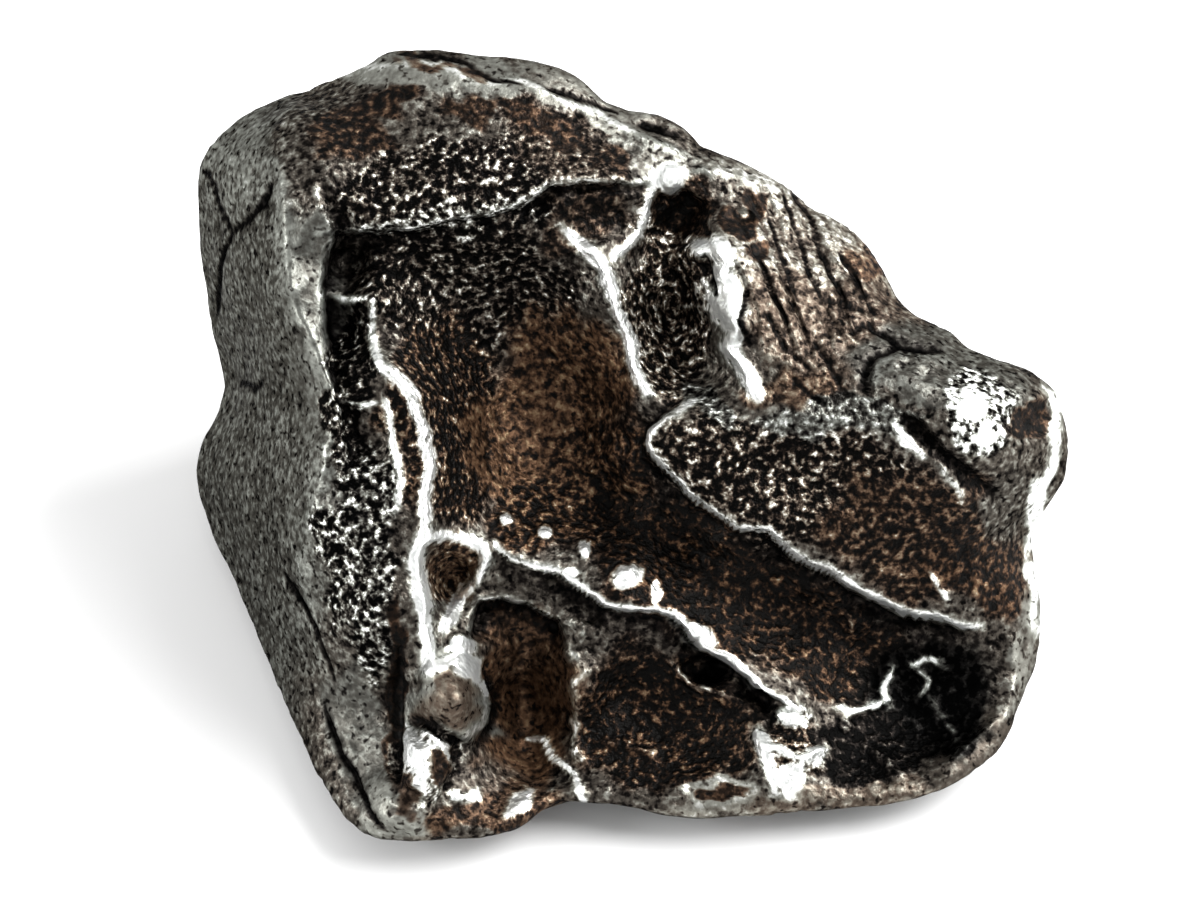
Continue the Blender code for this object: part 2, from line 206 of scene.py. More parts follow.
# Heights of the main forms: crests, hollows and slopes of the front
FORM_HEIGHTS = [
    # Crest between the left flank and the front
    (290, 105, -4.0), (281, 145, -1.4), (283, 200, 0.2), (288, 285, 0.9), (310, 340, 1.3),
    (337, 400, 1.6), (328, 450, 1.2), (312, 500, 0.4), (300, 560, -1.4), (308, 620, -2.4),
    (332, 680, -2.2), (352, 745, -1.6), (372, 800, -0.2),
    # Top dome
    (350, 120, -2.0), (450, 110, -1.6), (540, 125, -1.8), (620, 150, -2.4), (380, 180, 0.2),
    (470, 180, 0.3), (340, 235, 0.8), (410, 228, 0.9), (480, 218, 0.6), (550, 195, 0.2),
    (620, 190, -0.4), (690, 180, -3.2),
    # Wall and rib left of the hollow
    (345, 262, -1.0), (345, 330, -1.2), (372, 300, 0.7), (383, 365, 1.0), (418, 400, 0.8),
    (427, 450, 1.1), (430, 500, 1.3), (420, 545, 1.4), (370, 440, 0.9),
    # Central hollow and its right crest
    (420, 270, -1.6), (500, 280, -2.8), (450, 350, -3.2), (540, 370, -4.2), (480, 430, -3.2),
    (560, 450, -4.2), (500, 515, -2.6), (610, 500, -3.8), (580, 245, -0.8), (617, 305, -0.5),
    (640, 385, -0.2), (560, 300, -3.0), (600, 400, -3.4),
    # Valley and ridge at the upper right
    (665, 230, -4.2), (672, 310, -4.6), (690, 370, -2.6), (715, 250, -0.8), (728, 330, -0.1),
    (762, 398, 0.7), (760, 215, -3.6), (830, 280, -2.6), (800, 340, 0.0), (865, 345, -0.6),
    # Tongue and right lump
    (646, 445, 0.5), (700, 418, 1.1), (800, 425, 1.5), (890, 430, 1.4), (760, 480, 0.8),
    (850, 500, 0.4), (735, 522, 0.4), (835, 568, -0.6), (930, 545, -0.8), (965, 620, -3.0),
    (905, 378, 1.4), (965, 400, 1.9), (1015, 425, 0.6), (1000, 515, -1.4), (1005, 590, -3.8),
    # Chute under the tongue and the ledge chain below it
    (690, 550, -2.8), (780, 610, -3.6), (860, 660, -4.6), (945, 690, -5.0), (930, 745, -4.0),
    (505, 555, -1.0), (562, 578, -1.1), (630, 575, -0.7), (672, 612, -1.2), (738, 668, -1.5),
    (792, 712, -1.4), (850, 755, -2.6),
    # Lower level, pocket and bottom lip
    (620, 690, -3.4), (700, 730, -3.0), (650, 775, -1.8), (735, 792, -0.6), (520, 690, -5.0),
    (525, 755, -3.8), (582, 690, -1.6), (490, 620, -2.0),
    # Roll, funnel and nodules at the lower left
    (360, 490, 1.7), (362, 570, 1.9), (372, 650, 1.0), (418, 600, 1.5), (448, 588, -1.6),
    (430, 660, 0.9), (462, 700, 1.2), (428, 765, 0.9), (395, 700, -1.0), (400, 808, 1.0),
    (500, 810, -0.4),
]

# Ridges: crest height, width on the left and right of the line, how worn and how bright the painted
# highlight along it is, and its points
RIDGES = [
    # Crest of the left flank
    (0.5, 8, 20, 0.10, [(290, 105), (281, 150), (284, 230), (290, 290), (312, 345), (338, 402)]),
    (0.5, 10, 16, 0.10, [(338, 402), (330, 450), (314, 500), (302, 560), (308, 620), (332, 680)]),
    # Right crest of the central hollow
    (1.0, 11, 8, 1.0, [(560, 223), (580, 243), (603, 265), (617, 305), (630, 345), (640, 380),
                       (646, 395)]),
    # Rib left of the hollow, and the thinner one beside it
    (0.7, 6, 6, 0.8, [(376, 296), (370, 335), (380, 365), (398, 378)]),
    (1.1, 11, 8, 1.2, [(392, 366), (412, 392), (424, 430), (433, 470), (425, 498), (427, 532)]),
    (0.5, 5, 5, 0.9, [(384, 400), (394, 436), (401, 480), (395, 515)]),
    (0.4, 4, 4, 0.8, [(322, 296), (345, 300), (375, 300)]),
    (0.4, 4, 4, 0.8, [(340, 402), (362, 407), (376, 404)]),
    # Lower rib
    (1.0, 9, 8, 1.3, [(426, 528), (417, 560), (421, 592), (426, 628), (428, 662)]),
    # Funnel's rim and the bright bar below it
    (0.7, 7, 7, 1.1, [(425, 540), (444, 535), (466, 537), (482, 548), (486, 560), (473, 584)]),
    (0.8, 9, 8, 1.4, [(468, 586), (458, 604), (445, 627)]),
    # Ridge beside the upper right valley
    (1.2, 15, 12, 0.9, [(696, 244), (714, 246), (724, 262), (712, 282), (715, 300), (735, 322)]),
    (1.0, 12, 9, 0.8, [(726, 306), (735, 328), (728, 346), (745, 372), (756, 396)]),
    (0.3, 4, 4, 0.25, [(672, 306), (700, 305), (716, 312)]),
    # Upper crest of the tongue
    (0.5, 16, 16, 0.1, [(690, 398), (704, 412), (720, 425), (800, 420), (850, 420), (893, 430)]),
    # Small scoop and the crest right of it
    (0.6, 6, 8, 1.0, [(655, 186), (650, 200), (648, 215), (640, 235), (615, 258)]),
    (0.6, 12, 12, 0.2, [(690, 165), (720, 172), (790, 190)]),
    # Rims, right rib and light vein of the pocket
    (0.4, 4, 5, 0.8, [(482, 600), (505, 601), (524, 603), (553, 619)]),
    (0.5, 5, 5, 0.2, [(560, 622), (583, 631), (580, 646)]),
    (0.7, 7, 7, 0.3, [(566, 647), (585, 673), (573, 686), (577, 705), (573, 750), (590, 768)]),
    (0.5, 4, 4, 1.2, [(529, 738), (546, 740), (553, 757), (572, 773), (588, 812)]),
    # Rounded edges of the two nodules
    (0.5, 6, 9, 0.9, [(426, 668), (444, 662), (462, 656), (475, 662), (477, 682)]),
    (0.4, 6, 6, 0.2, [(488, 702), (482, 728), (465, 742)]),
    (0.5, 6, 6, 1.1, [(402, 730), (414, 746), (424, 766), (420, 788)]),
    (0.4, 5, 5, 1.0, [(424, 730), (446, 744), (453, 762)]),
    # Bottom lip of the pocket
    (0.5, 8, 8, 1.3, [(528, 792), (520, 802), (511, 814)]),
    (0.4, 6, 5, 0.5, [(455, 796), (470, 797), (480, 790)]),
    # Lower plate and the ring at its foot
    (0.5, 4, 6, 0.4, [(672, 660), (680, 676), (694, 688), (735, 697)]),
    (0.4, 4, 6, 0.2, [(605, 742), (655, 752), (655, 768)]),
    (0.6, 9, 8, 0.1, [(676, 800), (682, 776), (712, 778), (745, 790), (764, 776)]),
    # Bright forked mass at the end of the chain
    (0.9, 8, 8, 1.1, [(758, 728), (766, 756), (778, 790)]),
    (0.9, 9, 9, 1.1, [(826, 746), (806, 762), (792, 794)]),
    (0.6, 6, 6, 0.7, [(762, 744), (785, 752), (806, 762)]),
    # Folds of the lower right
    (0.5, 5, 6, 0.6, [(912, 668), (926, 660), (944, 664)]),
    (0.5, 5, 5, 0.4, [(918, 668), (930, 684), (922, 700)]),
    (0.5, 5, 6, 0.6, [(890, 672), (884, 690), (890, 706)]),
    (0.5, 5, 6, 0.7, [(838, 700), (850, 710), (884, 700)]),
    (0.4, 4, 5, 0.3, [(846, 712), (846, 730)]),
    (0.4, 5, 5, 0.25, [(872, 745), (888, 762), (898, 780)]),
    (0.4, 4, 4, 0.35, [(932, 698), (946, 716), (958, 740)]),
    (0.7, 7, 9, 0.1, [(942, 780), (950, 762), (972, 742), (997, 722)]),
    (0.5, 9, 8, 0.1, [(1010, 636), (1016, 672), (1008, 712)]),
    (0.3, 4, 4, 0.25, [(843, 610), (852, 622), (852, 634)]),
    # Highlights of the right lump and the line above the tongue's end
    (0.4, 8, 6, 0.5, [(893, 422), (905, 440), (922, 456)]),
    (0.4, 6, 6, 0.4, [(935, 465), (955, 485), (965, 510)]),
    (0.2, 9, 7, 0.6, [(1044, 386), (1054, 408), (1056, 440), (1052, 468), (1036, 500)]),
    (0.4, 4, 4, 0.6, [(928, 572), (936, 588), (946, 600)]),
    (0.1, 7, 7, 0.45, [(1047, 494), (1034, 518), (1028, 545), (1031, 580), (1036, 632)]),
]

# Ledges, high on the left of the line: rise, fall, widths of both, how worn and how bright the
# painted highlight on the lip is, and the points; the fall also sets the painted shade below the lip
LEDGES = [
    # Lip of the tongue
    (0.6, 1.6, 26, 40, 1.25, [(690, 398), (665, 416), (648, 430), (643, 443), (650, 457), (675, 478),
                             (690, 498), (735, 530), (771, 534), (784, 552), (816, 570),
                             (856, 588), (883, 606), (910, 615), (942, 624), (978, 629)]),
    # Chain of ledges under the chute
    (0.5, 1.2, 18, 34, 1.2, [(495, 550), (522, 565), (562, 575), (585, 592), (606, 608), (640, 612),
                             (672, 618), (700, 648), (735, 668), (757, 690), (785, 702),
                             (808, 716)]),
    # Rim of the lower left pocket
    (0.4, 1.5, 14, 40, 0.3, [(470, 640), (478, 603), (505, 599), (525, 602), (555, 620),
                             (568, 650)]),
    # Lower edge of the dome
    (0.3, 1.2, 16, 26, 0.5, [(318, 233), (345, 232), (380, 233), (410, 230), (460, 222), (512, 210),
                             (530, 205), (550, 187), (600, 182), (655, 185)]),
    # Second edge right of the flank's crest
    (0.3, 1.2, 16, 24, 0.3, [(352, 470), (340, 410), (328, 360), (322, 290), (333, 235), (328, 212),
                             (318, 180)]),
    # Crest at the back of the dome
    (0.2, 0.2, 12, 12, 0.3, [(720, 163), (690, 155), (640, 130), (600, 108), (560, 95), (530, 83),
                             (480, 76), (440, 60), (400, 61), (350, 68)]),
    # Left end of the right lump
    (0.6, 0.3, 22, 8, 0.2, [(945, 356), (900, 350), (876, 361), (868, 380), (876, 402)]),
    # Black hollow under the white knob
    (0.3, 1.0, 10, 20, 0.3, [(655, 192), (668, 196), (690, 190), (712, 205)]),
]

# Cracks and grooves, in the same form as the ridges
GROOVES = [
    (0.16, 1.5, 1.5, [(205, 168), (212, 185), (218, 205), (232, 234)]),
    (0.22, 2.4, 2.4, [(270, 183), (262, 200), (252, 214), (232, 234)]),
    (0.20, 1.6, 1.6, [(232, 234), (224, 252), (218, 290), (216, 315)]),
    (0.18, 1.8, 1.8, [(283, 572), (300, 603), (319, 638), (333, 680)]),
    (0.24, 2.0, 2.0, [(322, 705), (342, 756), (354, 772), (359, 788), (370, 817), (384, 830)]),
    (0.12, 1.8, 1.8, [(240, 382), (255, 390), (265, 380)]),
    (0.80, 5, 8, [(902, 412), (945, 455), (975, 480), (1000, 500)]),
    (0.50, 4, 4, [(407, 721), (428, 724), (444, 737), (464, 746)]),
    (0.50, 4, 4, [(400, 650), (398, 700), (394, 790)]),
    (0.12, 1.2, 1.2, [(400, 54), (440, 56), (465, 62), (490, 80), (520, 84)]),
    (0.12, 1.2, 1.2, [(545, 88), (580, 98), (615, 112)]),
    (0.20, 3, 3, [(640, 124), (680, 136)]),
    (0.20, 2, 2, [(985, 635), (1000, 648)]),
    (0.40, 3.5, 3.5, [(702, 256), (706, 275), (713, 294)]),
    (0.40, 4, 4, [(758, 690), (770, 712), (772, 730)]),
    (0.25, 2, 2, [(868, 400), (862, 380), (870, 358), (900, 345)]),
    # Wrinkles of the upper right slope
    (0.15, 1.6, 1.6, [(784, 192), (796, 228), (806, 262), (820, 296)]),
    (0.15, 1.4, 1.4, [(794, 192), (811, 218), (817, 246)]),
    (0.15, 1.6, 1.6, [(768, 210), (781, 257), (797, 300)]),
    (0.15, 1.6, 1.6, [(759, 255), (771, 292), (788, 324)]),
    (0.15, 1.8, 1.8, [(748, 285), (742, 316), (750, 345)]),
    (0.15, 1.6, 1.6, [(816, 245), (835, 282), (848, 306)]),
    (0.20, 2, 2, [(838, 250), (855, 277), (872, 310)]),
    (0.15, 2, 2, [(822, 300), (845, 304), (868, 312)]),
    (0.15, 1.6, 1.6, [(765, 310), (786, 346), (808, 368)]),
    (0.20, 2, 2, [(814, 340), (835, 375), (846, 398)]),
    (0.15, 2, 2, [(792, 376), (808, 392), (824, 406)]),
    (0.20, 2, 2, [(862, 322), (904, 346), (945, 350)]),
    # Outlines of the nodules
    (0.35, 3, 3, [(478, 745), (494, 725), (497, 700), (486, 668)]),
    (0.30, 3, 3, [(456, 744), (460, 770), (446, 792)]),
]

# Rounded knobs above zero and thumbprint pits below it: x, y, radii, turn in degrees, height
KNOBS = [
    (452, 700, 44, 50, 10, 2.2), (427, 762, 31, 40, 0, 1.9), (397, 800, 42, 36, 0, 1.3),
    (437, 763, 9, 11, 0, -0.6), (460, 640, 15, 12, 0, 0.7), (489, 688, 8, 12, 0, 0.6),
    (412, 795, 20, 14, 0, -0.4),
    (672, 178, 15, 15, 0, 0.9), (628, 573, 18, 12, 0, 0.4), (695, 630, 17, 15, 0, 0.6),
    (505, 520, 12, 10, 0, 0.5), (545, 535, 12, 10, 0, 0.5), (583, 550, 10, 14, 0, 0.5),
    (790, 715, 20, 15, 0, 0.6), (697, 255, 12, 12, 0, 0.7),
    (1032, 420, 28, 22, 10, -1.1), (590, 222, 52, 26, 20, -1.0), (448, 585, 26, 40, 15, -1.3),
    (350, 268, 24, 28, 0, -0.4), (708, 670, 34, 18, 0, -1.1), (820, 470, 90, 40, -10, -0.4),
    (540, 400, 90, 100, 0, -0.9), (520, 700, 60, 88, 5, -0.9), (800, 290, 70, 60, 60, -0.4),
    (740, 218, 18, 12, 0, -0.6), (760, 248, 12, 12, 0, -0.5), (290, 290, 6, 6, 0, 0.3),
    (880, 368, 9, 6, 0, -0.3), (905, 365, 10, 7, 0, -0.3), (925, 375, 8, 7, 0, -0.3),
    (688, 225, 26, 36, 0, -0.9), (660, 122, 18, 8, 20, -0.5),
]

# The back, never drawn on the sheet: shallow thumbprints between low crests
BACK_PITS = [
    (330, 250, 90, 80, 0, 1.6), (500, 190, 100, 80, 20, 1.8), (690, 260, 110, 90, -10, 2.0),
    (880, 380, 90, 80, 30, 1.6), (420, 330, 80, 70, 40, 1.2), (960, 560, 70, 80, 0, 1.3),
    (280, 430, 60, 90, 10, 1.2), (590, 130, 70, 40, 10, 1.0), (800, 300, 60, 60, 0, 1.0),
]

# Finish of the front, laid on in this order: x, y, radii, turn in degrees, and then
# how light, how brown and how glittering the iron is there; in some patches the lightness is painted
# shade or a painted reflection
FINISH_AND_PAINTED_LIGHT = [
    # Left flank, its crest and the roll, and painted shade on the dark wall between the crest and the
    # rib
    (250, 400, 110, 420, 0, 0.53, 0.05, 0.10), (225, 160, 50, 70, 0, 0.62, 0.05, 0.08),
    (304, 235, 32, 150, 0, 0.54, 0.05, 0.00), (318, 380, 20, 60, -15, 0.54, 0.05, 0.00),
    (345, 400, 24, 110, 0, 0.16, 0.20, 1.00), (362, 545, 44, 110, 0, 0.36, 0.10, 1.15),
    (362, 640, 34, 44, 0, 0.42, 0.10, 0.90), (356, 735, 36, 84, 15, 0.53, 0.05, 0.00),
    # Dome
    (450, 135, 190, 80, -8, 0.48, 0.20, 0.25), (430, 185, 150, 50, 4, 0.25, 0.30, 1.10),
    (320, 150, 46, 70, 0, 0.42, 0.20, 0.30), (570, 145, 80, 40, -25, 0.36, 0.40, 0.50),
    (440, 68, 170, 28, -8, 0.68, 0.10, 0.00), (600, 104, 100, 26, -28, 0.66, 0.15, 0.00),
    (425, 53, 36, 6, 0, 0.30, 0.80, 0.10), (478, 68, 26, 6, -30, 0.30, 0.80, 0.10),
    (650, 160, 70, 20, -20, 0.58, 0.10, 0.10), (745, 172, 50, 16, -12, 0.62, 0.25, 0.15),
    (385, 108, 44, 16, 25, 0.20, 0.85, 0.30), (470, 110, 40, 14, -5, 0.24, 0.80, 0.30),
    (350, 140, 44, 18, 0, 0.22, 0.80, 0.40), (540, 125, 46, 14, -25, 0.22, 0.85, 0.30),
    (610, 165, 34, 12, -20, 0.26, 0.70, 0.40),
    (590, 218, 56, 32, 10, 0.22, 0.60, 0.45), (450, 225, 130, 16, 8, 0.42, 0.15, 1.10),
    # Central hollow and the chute to the lower right
    (470, 290, 130, 70, 0, 0.23, 0.30, 0.85), (440, 420, 60, 120, 0, 0.11, 0.85, 0.85),
    (560, 385, 80, 80, 20, 0.40, 1.00, 0.30), (530, 450, 80, 60, -20, 0.42, 1.00, 0.25),
    (600, 470, 60, 60, 0, 0.34, 1.00, 0.45), (550, 515, 80, 40, 0, 0.24, 1.00, 0.60),
    (700, 575, 140, 66, -30, 0.07, 1.00, 0.50), (830, 650, 100, 56, -25, 0.13, 0.95, 0.55),
    # Valley and wrinkled slope at the upper right, with painted shade and brown oxide in the black
    # hollow under the knob
    (672, 300, 50, 120, 0, 0.37, 0.50, 1.05), (815, 250, 100, 110, 40, 0.72, 0.30, 0.25),
    (830, 325, 110, 60, -20, 0.48, 0.45, 0.25), (800, 385, 60, 24, -10, 0.44, 0.70, 0.30),
    (864, 262, 16, 30, 40, 0.40, 0.80, 0.30), (688, 222, 30, 42, 0, 0.05, 0.80, 0.50),
    (742, 218, 22, 16, 0, 0.15, 0.90, 0.20), (760, 248, 15, 15, 0, 0.15, 0.90, 0.20),
    # Tongue
    (800, 480, 170, 66, -12, 0.24, 0.45, 1.00), (920, 540, 110, 76, -20, 0.24, 0.80, 0.50),
    (980, 575, 60, 40, -20, 0.22, 0.95, 0.40),
    (835, 418, 90, 17, 0, 0.46, 0.05, 0.45), (712, 412, 34, 16, -35, 0.46, 0.05, 0.60),
    # Right lump, with a painted highlight on its top and a painted reflection along its right rim
    (935, 372, 105, 40, -15, 0.54, 0.08, 0.05), (978, 418, 34, 42, 0, 0.72, 0.05, 1.20),
    (1030, 424, 26, 26, 0, 0.15, 0.90, 0.30), (1010, 510, 34, 40, 0, 0.46, 0.15, 0.20),
    (1040, 570, 13, 100, 0, 1.00, 0.05, 0.10),
    # Pocket, funnel and nodules at the lower left, with painted shade and oxide on the dark inner
    # wall of the lower crest
    (520, 700, 66, 105, 0, 0.42, 1.00, 0.15), (515, 640, 40, 30, 0, 0.42, 0.90, 0.20),
    (448, 572, 28, 36, 15, 0.42, 0.85, 0.50), (438, 612, 12, 26, 0, 0.48, 0.20, 0.20),
    (490, 810, 100, 22, 10, 0.34, 0.80, 0.30), (399, 690, 10, 110, 0, 0.10, 0.90, 0.10),
    (452, 700, 50, 56, 10, 0.72, 0.10, 0.00), (450, 700, 32, 34, 0, 0.54, 0.45, 0.00),
    (427, 764, 36, 42, 0, 0.74, 0.20, 0.70), (437, 763, 11, 14, 0, 0.22, 0.80, 0.10),
    (396, 812, 46, 34, 0, 0.68, 0.10, 0.00), (408, 796, 18, 14, 20, 0.34, 0.60, 0.10),
    # Lower plate, its lip and the bright mass at its end, and painted shade in the dip below the
    # chain
    (660, 715, 100, 80, 0, 0.06, 0.95, 0.65), (740, 808, 90, 18, 0, 0.70, 0.25, 0.10),
    (716, 790, 46, 26, 0, 0.76, 0.15, 0.00), (722, 791, 30, 10, 0, 0.16, 0.90, 0.20),
    (792, 752, 30, 40, 0, 0.28, 0.60, 1.10),
    (708, 670, 36, 20, 0, 0.02, 0.00, 0.00),
    # Black folds of the lower right, painted shade in their deep hollows, and the lighter edge beyond
    # them
    (925, 700, 80, 74, 0, 0.01, 0.00, 0.20), (870, 752, 70, 44, 0, 0.00, 0.20, 0.40),
    (990, 762, 70, 38, 38, 0.50, 0.25, 0.00), (1028, 660, 22, 90, 0, 0.60, 0.15, 0.00),
    (850, 802, 110, 14, 3, 0.56, 0.40, 0.10),
]

# Worn bright spots, rubbed bare metal with a painted highlight: x, y, radii and turn in degrees
WORN_HIGHLIGHT_SPOTS = [
    # White knob, and the masses of the ridge beside the valley
    (671, 178, 22, 20, 0), (704, 250, 13, 15, 0), (722, 254, 11, 20, 15), (727, 300, 24, 34, 10),
    (736, 332, 10, 20, 0), (753, 382, 11, 24, 25),
    # Chain above the lower level
    (627, 575, 22, 15, 10), (656, 594, 8, 14, 0), (676, 622, 16, 11, -20), (697, 636, 22, 16, -30),
    (730, 662, 24, 9, -30), (750, 682, 12, 8, -45), (792, 716, 24, 13, -10), (505, 520, 9, 8, 0),
    (545, 535, 9, 8, 0), (583, 550, 8, 11, 0), (570, 572, 12, 8, 0),
    # Forked mass, nodules and lips
    (790, 780, 17, 18, 0), (764, 744, 8, 18, 0), (816, 756, 12, 12, 40), (462, 645, 16, 10, 0),
    (489, 688, 8, 11, 0), (414, 750, 16, 34, 25), (420, 782, 9, 12, 0), (442, 742, 14, 9, -20),
    (521, 803, 15, 15, 0), (475, 796, 9, 7, 0), (457, 794, 6, 7, 0), (466, 668, 14, 12, 0),
    # Right lump and the flank's cup
    (970, 404, 18, 20, 0), (986, 436, 12, 20, 0), (905, 440, 8, 16, 30),
]

# Colours of the bare metal and of the brown oxide, from the darkest tone to the lightest
METAL_TONES = [
    (0.0, "030303"), (0.25, "181716"), (0.5, "484844"), (0.75, "8b8e88"), (1.0, "f4f6f4"),
]
OXIDE_TONES = [
    (0.0, "040302"), (0.25, "20150d"), (0.5, "5a4230"), (0.75, "857056"), (1.0, "e4dccb"),
]

ELEVATION = math.radians(VIEW_ELEVATION_DEG)
SIN_E = math.sin(ELEVATION)
COS_E = math.cos(ELEVATION)


def sheet_mm(points):
    """Sheet units to millimetres from the sheet's centre, with y up."""
    flat = np.array(points, float)
    flat[:, 0] = (flat[:, 0] - SHEET_CENTRE[0]) * UNIT_MM
    flat[:, 1] = (SHEET_CENTRE[1] - flat[:, 1]) * UNIT_MM
    return flat


def smooth_max(a, b, reach):
    """The greater of two heights, with a rounded change over the given reach."""
    near = np.clip(0.5 + 0.5 * (a - b) / reach, 0.0, 1.0)
    return b + (a - b) * near + reach * near * (1.0 - near)


def ring_average(values, reach):
    """Each value of a closed ring averaged with its neighbours on both sides."""
    return sum(np.roll(values, k) for k in range(-reach, reach + 1)) / (2 * reach + 1)


def rim_tables():
    """Radius and height of the widest line over a full turn, a little smoothed."""
    points = sheet_mm(OUTLINE)
    centre = sheet_mm([OUTLINE_CENTRE])[0]
    offset = points[:, :2] - centre
    angles = np.arctan2(offset[:, 1], offset[:, 0])
    turn = np.linspace(-math.pi, math.pi, RIM_STEPS, endpoint=False)
    radius = np.interp(turn, angles, np.hypot(offset[:, 0], offset[:, 1]), period=2 * math.pi)
    height = np.interp(turn, angles, points[:, 2], period=2 * math.pi)
    radius = ring_average(ring_average(radius, RADIUS_SMOOTHING), RADIUS_SMOOTHING)
    height = ring_average(ring_average(height, HEIGHT_SMOOTHING), HEIGHT_SMOOTHING)
    return centre, turn, radius, height


def plate_kernel(distance):
    """How a point load bends a thin plate at a distance. The tiny length avoids log of zero."""
    return distance * distance * np.log(distance + 1e-9)


def bent_plate(x, y):
    """Height of a thin plate bent through the rim and all the main forms."""
    rim = sheet_mm(OUTLINE)
    rim[:, 2] += RIM_RISE_MM
    knots = np.vstack([rim, sheet_mm(FORM_HEIGHTS)])
    count = len(knots)
    apart = np.hypot(knots[:, None, 0] - knots[None, :, 0], knots[:, None, 1] - knots[None, :, 1])
    system = np.zeros((count + 3, count + 3))
    system[:count, :count] = plate_kernel(apart) + np.eye(count) * PLATE_SLACK
    system[:count, count:] = np.column_stack([np.ones(count), knots[:, :2]])
    system[count:, :count] = system[:count, count:].T
    weights = np.linalg.solve(system, np.append(knots[:, 2], np.zeros(3)))
    height = weights[count] + weights[count + 1] * x + weights[count + 2] * y
    for knot, weight in zip(knots, weights):
        height += weight * plate_kernel(np.hypot(x - knot[0], y - knot[1]))
    return height


def line_distance(x, y, points):
    """Distance to the line, positive on its left, and a fade toward its ends."""
    line = sheet_mm(points)
    lengths = np.hypot(*(line[1:] - line[:-1]).T)
    total = lengths.sum()
    nearest = np.full(x.shape, 1e9)
    side = np.zeros(x.shape)
    along = np.zeros(x.shape)
    start = 0.0
    for a, b, length in zip(line[:-1], line[1:], lengths):
        dx, dy = (b - a) / length
        run = np.clip((x - a[0]) * dx + (y - a[1]) * dy, 0.0, length)
        away = np.hypot(x - a[0] - run * dx, y - a[1] - run * dy)
        closer = away < nearest
        nearest = np.where(closer, away, nearest)
        side = np.where(closer, dx * (y - a[1]) - dy * (x - a[0]), side)
        along = np.where(closer, start + run, along)
        start += length
    fade = np.clip(np.minimum(along, total - along) / (LINE_FADE * total), 0.0, 1.0)
    return np.where(side > 0, nearest, -nearest), fade


def crest_profile(distance, fade, left, right):
    """One on the line, falling off sharply to each side and fading at its ends."""
    width = np.where(distance > 0, left, right) * UNIT_MM
    near = np.hypot(distance, CREST_ROUNDING_MM) - CREST_ROUNDING_MM
    return np.exp(-near / width) * (1.0 + fade) / 2


def ledge_profile(distance, fade, rise, fall, left, right):
    """Raised on the left of the line and sunk on its right, with a sheer edge between."""
    high = rise * np.exp(-np.abs(distance) / (left * UNIT_MM))
    low = -fall * np.exp(-np.abs(distance) / (right * UNIT_MM))
    blend = 0.5 + 0.5 * np.tanh(distance / CLIFF_MM)
    return (low + (high - low) * blend) * np.sqrt(fade)


def oval_profile(x, y, cx, cy, rx, ry, turn_deg):
    """A round cap: one in the middle of the oval and zero from its edge on."""
    middle = sheet_mm([(cx, cy)])[0]
    c, s = math.cos(math.radians(turn_deg)), math.sin(math.radians(turn_deg))
    u = ((x - middle[0]) * c + (y - middle[1]) * s) / (rx * UNIT_MM)
    v = ((y - middle[1]) * c - (x - middle[0]) * s) / (ry * UNIT_MM)
    return np.clip(1.0 - u * u - v * v, 0.0, 1.0)


def noise_at(x, y, length_mm, seed):
    """Smooth noise of about -1 to 1 over the sheet."""
    return np.array([
        noise.noise(Vector((a / length_mm, b / length_mm, seed))) for a, b in zip(x, y)
    ])


def wander(x, y, layers, seeds):
    """Irregular shift in mm, made of one noise layer for each seed."""
    return sum(
        amount * noise_at(x, y, length_mm, seed)
        for (amount, length_mm), seed in zip(layers, seeds)
    )


